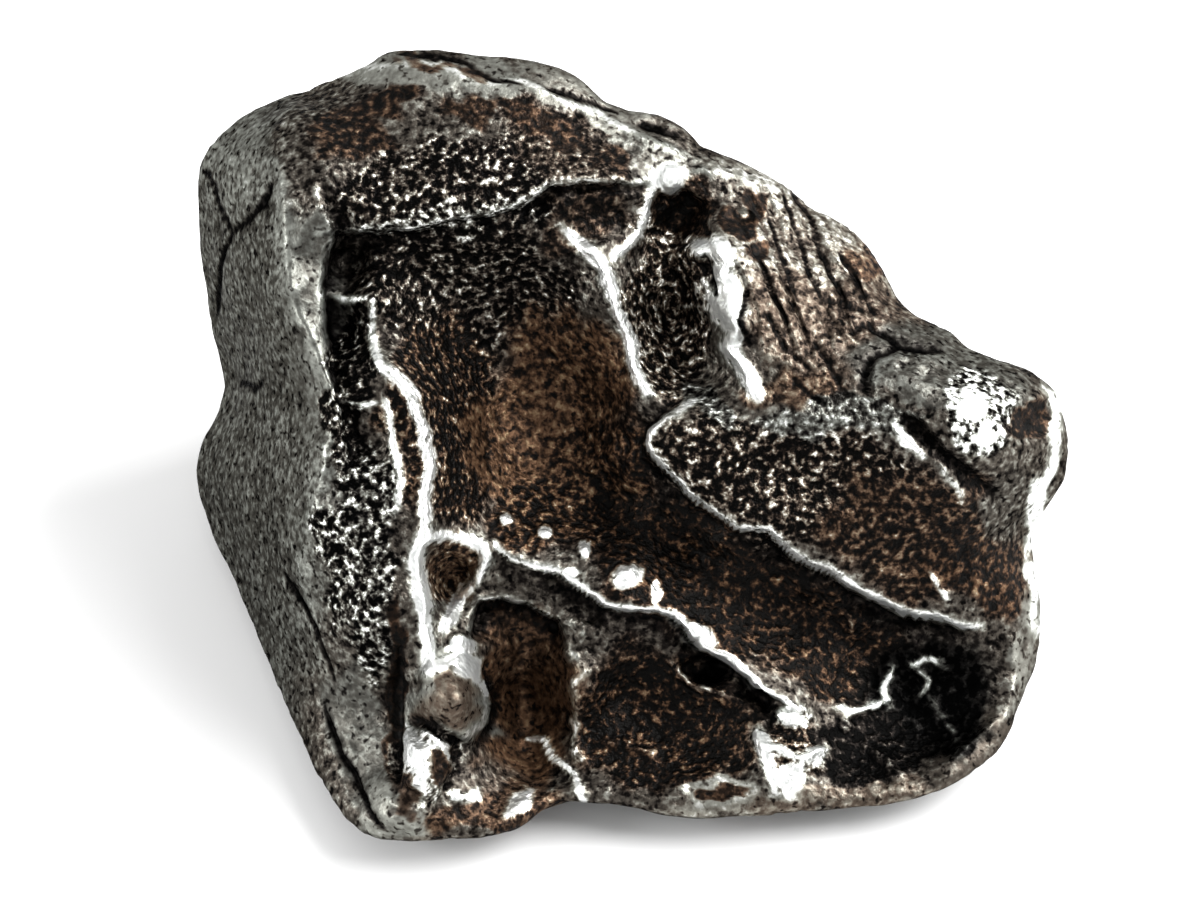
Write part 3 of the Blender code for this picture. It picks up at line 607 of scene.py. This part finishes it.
def front_height(x, y):
    """Height of the drawn front, how worn and lit by painted highlight its lines leave the iron, and
    how much painted shade they lay on it.
    """
    # Lines wander a little so that no edge runs straight
    shift_x = wander(x, y, LINE_WANDER, (3.1, 5.7))
    shift_y = wander(x, y, LINE_WANDER, (11.3, 17.9))
    uneven = 1.0 + wander(x, y, [UNEVEN], [23.5])
    wear_highlight_change = 1.0 + wander(x, y, [WEAR_HIGHLIGHT_CHANGE], [29.3])
    height = bent_plate(x, y)
    x, y = x + shift_x, y + shift_y
    worn_and_highlight = np.zeros(x.shape)
    shade = np.zeros(x.shape)
    # Crests: rubbed bare metal with a painted highlight along their middle
    for crest, left, right, wear_and_highlight, points in RIDGES:
        distance, fade = line_distance(x, y, points)
        height += crest * uneven * crest_profile(distance, fade, left, right)
        width = WORN_HIGHLIGHT_SHARE * (left + right) / 2 * UNIT_MM
        line = WORN_HIGHLIGHT_FLAT * wear_and_highlight * wear_highlight_change * np.exp(-(distance / width) ** 2) * (1.0 + fade) / 2
        worn_and_highlight = np.maximum(worn_and_highlight, line)
    # Ledges: a painted highlight on the lip and painted shade below it
    for rise, fall, left, right, wear_and_highlight, points in LEDGES:
        distance, fade = line_distance(x, y, points)
        height += uneven * ledge_profile(distance, fade, rise, fall, left, right)
        line = wear_and_highlight * wear_highlight_change * np.exp(-((distance - CLIFF_MM) / LIP_MM) ** 2) * (1.0 + fade) / 2
        line *= np.clip(LIP_START + distance / CLIFF_MM, 0.0, 1.0)
        worn_and_highlight = np.maximum(worn_and_highlight, line)
        below = np.clip(distance / -CLIFF_MM, 0.0, 1.0)
        shade = np.maximum(shade, fall * below * np.exp(distance / SHADE_MM) * fade)
    for cx, cy, rx, ry, turn_deg, rise in KNOBS:
        height += rise * oval_profile(x, y, cx, cy, rx, ry, turn_deg)
    # Spots of rubbed bare metal with a painted highlight
    for oval in WORN_HIGHLIGHT_SPOTS:
        worn_and_highlight = np.maximum(worn_and_highlight, SPOT_WEAR_AND_HIGHLIGHT * uneven * oval_profile(x, y, *oval))
    folds, zone = wrinkles(x, y)
    height += WRINKLE_HEIGHT_MM * folds * zone
    # The valleys of the wrinkles are darkened through the painted shade
    shade = np.maximum(shade, WRINKLE_SHADE * zone * (1.0 - folds) ** 2)
    return height, np.clip(worn_and_highlight, 0.0, 1.0), np.clip(shade, 0.0, 1.0)


def wrinkles(x, y):
    """Flow lines of the upper right slope, which run steeply down to the right."""
    across = x * math.sin(WRINKLE_SLOPE) + y * math.cos(WRINKLE_SLOPE)
    along = x * math.cos(WRINKLE_SLOPE) - y * math.sin(WRINKLE_SLOPE)
    zone = np.zeros(x.shape)
    for oval in WRINKLE_ZONES:
        zone = np.maximum(zone, oval_profile(x, y, *oval))
    folds = np.abs(noise_at(across, along / WRINKLE_STRETCH, WRINKLE_MM, 41.3))
    return np.clip(folds / WRINKLE_GAP, 0.0, 1.0), np.sqrt(zone)


def finish_and_painted_light(x, y):
    """How light, brown and glittering the iron of the front is, in patches with ragged edges, some of
    them painted shade or painted reflection.
    """
    shift_x = wander(x, y, FINISH_WANDER, (43.1, 47.9))
    shift_y = wander(x, y, FINISH_WANDER, (53.7, 59.3))
    x, y = x + shift_x, y + shift_y
    layers = np.tile(PLAIN_FINISH, (len(x), 1))
    for cx, cy, rx, ry, turn_deg, *values in FINISH_AND_PAINTED_LIGHT:
        cover = np.clip(oval_profile(x, y, cx, cy, rx, ry, turn_deg) * 2.0, 0.0, 1.0)
        cover = (cover * cover * (3.0 - 2.0 * cover))[:, None]
        layers += (np.array(values) - layers) * cover
    return layers.T


def crack_depth(x, y):
    """Depth of the cracks, cut straight into the surface, and how dark their painted shade is."""
    x, y = x + wander(x, y, CRACK_WANDER, [31.1]), y + wander(x, y, CRACK_WANDER, [37.3])
    depth = np.zeros(x.shape)
    crack_shade = np.zeros(x.shape)
    for deep, left, right, points in GROOVES:
        distance, fade = line_distance(x, y, points)
        profile = crest_profile(distance, fade, left, right)
        depth = np.maximum(depth, deep * profile)
        # Painted shade darkens the middle of each crack
        crack_shade = np.maximum(crack_shade, (profile - CRACK_EDGE) / CRACK_SOFTNESS)
    return depth, np.clip(crack_shade, 0.0, 1.0)


def floor_height(y):
    """Height at which the floor is met below a sheet position."""
    return -(SHEET_CENTRE_ABOVE_FLOOR_MM + y * COS_E) / SIN_E


def back_height(x, y):
    """Height of the underside, the back and the far ends."""
    foot_x, foot_y = sheet_mm([FOOT_MIDDLE])[0]
    from_foot = ((x - foot_x) ** 2 + ((y - foot_y) / SIN_E) ** 2) / FOOT_RADIUS_MM ** 2
    under = floor_height(y) + FOOT_SINK_MM * (from_foot - 1.0) / SIN_E
    wall = (y * SIN_E - DEPTH_BEHIND_CENTRE_MM + WALL_BOW_PER_MM * x * x) / COS_E
    right, left = (DEEPEST_MM + slope * (x - start) for start, slope in (RIGHT_FLARE, LEFT_FLARE))
    flares = smooth_max(right, left, FLARE_ROUNDING_MM)
    height = smooth_max(smooth_max(under, wall, BACK_ROUNDING_MM), flares, FLARE_ROUNDING_MM)
    for cx, cy, rx, ry, turn_deg, depth in BACK_PITS:
        height += depth * oval_profile(x, y, cx, cy, rx, ry, turn_deg)
    return height


def swell(points, behind):
    """Soft irregular swellings, slight on the drawn front and fuller behind."""
    # Without a seed this noise starts from the clock and every run gives another stone
    noise.seed_set(SWELL_SEED)
    near, far = SWELL_LENGTH_MM
    fine = np.array([noise.noise_vector(Vector(point / near)) for point in points])
    broad = np.array([noise.noise_vector(Vector(point / far)) for point in points])
    behind = behind[:, None]
    return SWELL_MM[0] * fine * (1.0 + behind) / 2 + SWELL_MM[1] * broad * behind


def even_reach(share, angle, centre, radius_table, turn):
    """Share of the radius for each vertex, so that steep slopes get as many rows as flat ones."""
    rows = np.linspace(-math.pi, math.pi, SPACING_ROWS + 1)
    steps = np.linspace(0.0, 1.0, SPACING_STEPS)
    even = math.sqrt(2.0) * np.sin(steps * math.pi / 4)
    flat = even + ROUND_SPACING * (np.sin(steps * math.pi / 2) - even)
    row_radius = np.interp(rows, turn, radius_table, period=2 * math.pi)
    along = row_radius[:, None] * flat[None, :]
    x = centre[0] + along * np.cos(rows)[:, None]
    y = centre[1] + along * np.sin(rows)[:, None]
    height = bent_plate(x.ravel(), y.ravel()).reshape(x.shape) * STEEPNESS_WEIGHT
    lengths = np.hypot(np.diff(along, axis=1), np.diff(height, axis=1)) / np.diff(along, axis=1)
    spent = np.concatenate([np.zeros((len(rows), 1)), np.cumsum(lengths, axis=1)], axis=1)
    spent /= spent[:, -1:]
    place = (angle + math.pi) / (2 * math.pi) * SPACING_ROWS
    row = np.minimum(place.astype(int), SPACING_ROWS - 1)
    part = place - row
    reach = np.zeros(share.shape)
    for index in range(SPACING_ROWS):
        here = row == index
        before = np.interp(share[here], spent[index], flat)
        after = np.interp(share[here], spent[index + 1], flat)
        reach[here] = before + (after - before) * part[here]
    return reach


def form_points(directions):
    """Move unit directions onto the stone.

    Gives the points in mm with z up, their sheet x and y, how far each one is behind the
    drawn front, how worn and lit by painted highlight it is, and how much painted shade it has.
    """
    u, v, w = directions.T
    centre, turn, radius_table, height_table = rim_tables()
    angle = np.arctan2(v, u)
    radius = np.interp(angle, turn, radius_table, period=2 * math.pi)
    rim = np.interp(angle, turn, height_table, period=2 * math.pi)
    tilt = np.degrees(np.arccos(np.clip(w, -1.0, 1.0)))
    front = tilt <= FRONT_SHARE_DEG
    share = np.where(front, tilt / FRONT_SHARE_DEG, (180.0 - tilt) / (180.0 - FRONT_SHARE_DEG))
    reach = even_reach(share, angle, centre, radius_table, turn)
    even = math.sqrt(2.0) * np.sin(share * math.pi / 4)
    reach = np.where(front, reach, even + ROUND_SPACING * (np.sin(share * math.pi / 2) - even))
    x = centre[0] + reach * radius * np.cos(angle)
    y = centre[1] + reach * radius * np.sin(angle)

    inward = np.clip((1.0 - reach) * radius / RIM_ROLL_MM, 0.0, 1.0)
    front_blend = np.sqrt(1.0 - (1.0 - inward) ** 2)
    inward = np.clip((1.0 - reach) / BACK_ROLL, 0.0, 1.0)
    back_blend = np.sqrt(1.0 - (1.0 - inward) ** 2)
    drawn, worn_and_highlight, shade = front_height(x, y)
    height = np.where(
        front,
        rim + (drawn - rim) * front_blend,
        rim + (np.minimum(back_height(x, y), rim - LEAST_THICKNESS_MM) - rim) * back_blend,
    )
    spread = 1.0 - height / VIEW_DISTANCE_MM
    px, py = x * spread, y * spread
    z = SHEET_CENTRE_ABOVE_FLOOR_MM + py * COS_E + height * SIN_E
    points = np.column_stack([px, py * SIN_E - height * COS_E, z])
    points += swell(points, np.where(front, 0.0, back_blend))
    return points, x, y, np.where(front, 0.0, back_blend), worn_and_highlight, shade


def thumbprints(points, behind):
    """Depth of the shallow thumbprint hollows that cover the back, in mm."""
    dents = np.array([noise.noise(Vector(point / THUMBPRINT_MM)) for point in points])
    return THUMBPRINT_DEPTH_MM * np.maximum(dents + THUMBPRINT_MARGIN, 0.0) * behind


def surface_relief(points):
    """Height of the small pits and grains along the surface, in mm."""
    relief = np.zeros(len(points))
    for index, point in enumerate(points):
        place = Vector(point)
        grain = noise.fractal(place / GRAIN_MM, GRAIN_ROUGHNESS, GRAIN_STEP, GRAIN_LAYERS)
        lumps = noise.noise(place / LUMP_MM)
        pits = max(0.0, noise.noise(place / PIT_MM + Vector(PIT_OFFSET)) - PIT_THRESHOLD)
        relief[index] = GRAIN_HEIGHT_MM * grain + LUMP_HEIGHT_MM * lumps - PIT_DEPTH_MM * pits
    return relief


def build_surface():
    """The stone's mesh with its finish in three layers, painted highlight and shade among them, and
    the middle it was moved from.
    """
    shape = bmesh.new()
    bmesh.ops.create_cube(shape, size=2.0)
    bmesh.ops.subdivide_edges(shape, edges=shape.edges[:], cuts=CUTS_PER_SIDE, use_grid_fill=True)
    cube = np.array([vertex.co[:] for vertex in shape.verts])
    ball = np.tan(cube * math.pi / 4)
    ball /= np.linalg.norm(ball, axis=1, keepdims=True)
    points, sheet_x, sheet_y, behind, worn_and_highlight, shade = form_points(ball)
    front = behind == 0.0
    for vertex, point in zip(shape.verts, points):
        vertex.co = point
    shape.normal_update()
    normals = np.array([vertex.normal[:] for vertex in shape.verts])
    cracks, crack_shade = (
        np.where(front, layer, 0.0) for layer in crack_depth(sheet_x, sheet_y)
    )
    relief = surface_relief(points)
    points += normals * (relief - cracks - thumbprints(points, behind))[:, None]
    points[:, 2] = np.maximum(points[:, 2], 0.0)
    middle = (points.min(0) + points.max(0)) / 2
    middle[2] = 0.0
    for vertex, point in zip(shape.verts, points):
        vertex.co = (point - middle) / 1000.0
    mesh = bpy.data.meshes.new("meteorite_surface")
    shape.to_mesh(mesh)
    shape.free()
    mesh.shade_smooth()

    patches = np.array([
        noise.fractal(Vector(point / BACK_PATCH_MM), BACK_PATCH_ROUGHNESS, 2.0, BACK_PATCH_LAYERS)
        for point in points
    ])
    tone, brown, glitter = (
        np.where(front, drawn, plain + change * patches)
        for drawn, plain, change in zip(finish_and_painted_light(sheet_x, sheet_y), BACK_FINISH, BACK_PATCH)
    )
    brown, glitter = np.clip(brown, 0.0, 1.0), np.maximum(glitter, 0.0)
    worn_and_highlight = np.where(front, worn_and_highlight, 0.0)
    painted_shade = np.clip(np.where(front, shade, 0.0) + crack_shade, 0.0, 1.0)
    # Wear lightens the tone with a painted highlight; painted shade under ledge lips, in wrinkles and
    # in cracks darkens it
    tone = tone + (FULL_WEAR_AND_HIGHLIGHT - tone) * worn_and_highlight
    glitter = glitter * (1.0 - WORN_HIGHLIGHT_GLITTER_LOSS * worn_and_highlight)
    tone = tone * (1.0 - SHADE_DARKENING * painted_shade) + PIT_DARKENING * np.minimum(relief, 0.0)
    brown = brown * (1.0 - worn_and_highlight)
    for name, layer in (("tone", tone), ("brown", brown), ("glitter", glitter)):
        attribute = mesh.attributes.new(name, "FLOAT", "POINT")
        attribute.data.foreach_set("value", layer.astype(np.float32))
    return mesh, middle / 1000.0


def linear(hex_colour):
    """An sRGB hex colour as linear red, green, blue and alpha."""
    parts = [int(hex_colour[i:i + 2], 16) / 255.0 for i in (0, 2, 4)]
    return [c / 12.92 if c <= 0.04045 else ((c + 0.055) / 1.055) ** 2.4 for c in parts] + [1.0]


def add(tree, kind, links=(), values=(), **settings):
    """Add a node with its settings, its input values and the links into its inputs."""
    node = tree.nodes.new(kind)
    for name, value in settings.items():
        setattr(node, name, value)
    for socket, value in values:
        node.inputs[socket].default_value = value
    for socket, source in links:
        tree.links.new(source, node.inputs[socket])
    return node


def ranged(tree, source, lowest, highest, **ends):
    """Bring a value to a new range."""
    return add(tree, "ShaderNodeMapRange", [("Value", source)],
               [("To Min", lowest), ("To Max", highest), *ends.items()]).outputs[0]


def weathered_iron():
    """Nickel iron with a thin oxide skin, weathered in the open and rubbed bare on its crests.

    It gives the eye dark metal that sparkles in coarse grains where it is broken, partly by bumps
    and partly by glints painted into the colour, warm brown where oxide fills the hollows, dull grey
    on the smooth flank, dark where shade is painted, and white on the worn edges with their painted
    highlights.
    """
    material = bpy.data.materials.new("weathered_iron")
    material.use_nodes = True
    tree = material.node_tree
    tree.nodes.clear()
    place = add(tree, "ShaderNodeTexCoord").outputs["Object"]
    mm = add(tree, "ShaderNodeVectorMath", [("Vector", place)], [("Scale", MM_PER_METRE)],
             operation="SCALE").outputs[0]
    tone, brown, glitter = (
        add(tree, "ShaderNodeAttribute", attribute_name=name).outputs["Fac"]
        for name in ("tone", "brown", "glitter")
    )

    # The grain moves the tone up and down, reaching white and black where the glitter is high, which
    # paints glints into the colour, and pits darken it
    grain = add(tree, "ShaderNodeTexNoise", [("Vector", mm)],
                [("Scale", TONE_GRAIN_PER_MM), ("Detail", 2.0), ("Roughness", 0.5)]).outputs["Fac"]
    contrast = ranged(tree, glitter, *GRAIN_CONTRAST)
    centred = add(tree, "ShaderNodeMath", [(0, grain)], [(1, 0.5)], operation="SUBTRACT").outputs[0]
    lightness = add(tree, "ShaderNodeMath", [(0, centred), (1, contrast), (2, tone)],
                    operation="MULTIPLY_ADD").outputs[0]
    spots = add(tree, "ShaderNodeTexNoise", [("Vector", mm)],
                [("Scale", TONE_PITS_PER_MM), ("Detail", 1.0), ("Roughness", 0.5)]).outputs["Fac"]
    spots = ranged(tree, spots, 0.0, TONE_PIT_DARKNESS,
                   **{"From Min": TONE_PIT_RANGE[0], "From Max": TONE_PIT_RANGE[1]})
    lightness = add(tree, "ShaderNodeMath", [(0, lightness), (1, spots)],
                    operation="SUBTRACT").outputs[0]

    colours = []
    for tones in (METAL_TONES, OXIDE_TONES):
        ramp = add(tree, "ShaderNodeValToRGB", [("Fac", lightness)])
        stops = ramp.color_ramp.elements
        stops[0].position, stops[1].position = tones[0][0], tones[-1][0]
        for position, _ in tones[1:-1]:
            stops.new(position)
        for stop, (_, hex_colour) in zip(stops, tones):
            stop.color = linear(hex_colour)
        colours.append(ramp.outputs["Color"])
    colour = add(tree, "ShaderNodeMix", [(0, brown), (6, colours[0]), (7, colours[1])],
                 data_type="RGBA").outputs[2]
    bump = add(tree, "ShaderNodeBump",
               [("Height", grain), ("Strength", ranged(tree, glitter, *BUMP_STRENGTH))],
               [("Distance", BUMP_MM / MM_PER_METRE)]).outputs[0]
    shader = add(tree, "ShaderNodeBsdfPrincipled",
                 [("Base Color", colour), ("Metallic", ranged(tree, brown, *METALLIC)),
                  ("Roughness", ranged(tree, lightness, *ROUGHNESS)), ("Normal", bump)],
                 [("Specular Tint", EDGE_TINT)])
    add(tree, "ShaderNodeOutputMaterial", [("Surface", shader.outputs[0])])
    return material


def matte_floor():
    """White board with a matt sprayed face: a plain pale ground that takes only soft shadows."""
    material = bpy.data.materials.new("matte_white_board")
    material.use_nodes = True
    shader = material.node_tree.nodes["Principled BSDF"]
    shader.inputs["Base Color"].default_value = linear(FLOOR_COLOUR)
    shader.inputs["Roughness"].default_value = FLOOR_ROUGHNESS
    return material


def add_light(name, place_mm, size_mm, watts, aim):
    """A square softbox turned toward the stone."""
    lamp = bpy.data.lights.new(name, "AREA")
    lamp.energy = watts
    lamp.size = size_mm / 1000.0
    light = bpy.data.objects.new(name, lamp)
    bpy.context.scene.collection.objects.link(light)
    light.location = Vector(place_mm) / 1000.0
    light.rotation_euler = (aim - light.location).to_track_quat("-Z", "Y").to_euler()


def add_camera(centre):
    """The camera at the photograph's angle, and the direction toward it."""
    camera_data = bpy.data.cameras.new("camera")
    camera_data.lens = camera_data.sensor_width * VIEW_DISTANCE_MM / (SHEET_WIDTH * UNIT_MM)
    camera_data.clip_start = CAMERA_NEAR_MM / 1000.0
    camera = bpy.data.objects.new("camera", camera_data)
    bpy.context.scene.collection.objects.link(camera)
    toward = Vector((0.0, -COS_E, SIN_E))
    camera.location = centre + toward * (VIEW_DISTANCE_MM / 1000.0)
    camera.rotation_euler = (-toward).to_track_quat("-Z", "Y").to_euler()
    bpy.context.scene.camera = camera
    return toward


def studio_world(toward):
    """White surroundings on the left, above and behind, and a dark room in front and to the right."""
    toward = (toward + Vector(DARK_SIDE)).normalized()
    world = bpy.data.worlds.new("studio")
    bpy.context.scene.world = world
    world.use_nodes = True
    tree = world.node_tree
    tree.nodes.clear()
    ray = add(tree, "ShaderNodeTexCoord").outputs["Generated"]
    facing = add(tree, "ShaderNodeVectorMath", [(0, ray)], [(1, toward)],
                 operation="DOT_PRODUCT").outputs["Value"]
    dark = add(tree, "ShaderNodeMapRange", [("Value", facing)],
               [("From Min", DARK_RANGE[0]), ("From Max", DARK_RANGE[1]),
                ("To Min", ROOM_LIGHT[0]), ("To Max", ROOM_LIGHT[1])],
               interpolation_type="SMOOTHSTEP").outputs[0]
    background = add(tree, "ShaderNodeBackground", [("Strength", dark)],
                     [("Color", linear("ffffff"))])
    add(tree, "ShaderNodeOutputWorld", [("Surface", background.outputs[0])])


def main():
    """The stone in place of its solid, then the floor, the camera and the light."""
    mesh, middle = build_surface()
    mesh.materials.append(weathered_iron())
    stone = bpy.data.objects.new("meteorite_surface", mesh)
    bpy.context.scene.collection.objects.link(stone)
    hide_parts("meteorite")
    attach(stone, "root")

    plane = bmesh.new()
    bmesh.ops.create_grid(plane, x_segments=1, y_segments=1, size=FLOOR_HALF_MM / 1000.0)
    floor_mesh = bpy.data.meshes.new("floor")
    plane.to_mesh(floor_mesh)
    plane.free()
    floor_mesh.materials.append(matte_floor())
    floor = bpy.data.objects.new("floor", floor_mesh)
    bpy.context.scene.collection.objects.link(floor)

    centre = Vector((-middle[0], -middle[1], SHEET_CENTRE_ABOVE_FLOOR_MM / 1000.0))
    toward = add_camera(centre)
    studio_world(toward)
    for name, place_mm, size_mm, watts in SOFTBOXES:
        add_light(name, place_mm, size_mm, watts, centre)
    bpy.context.scene.view_settings.view_transform = "Standard"


main()
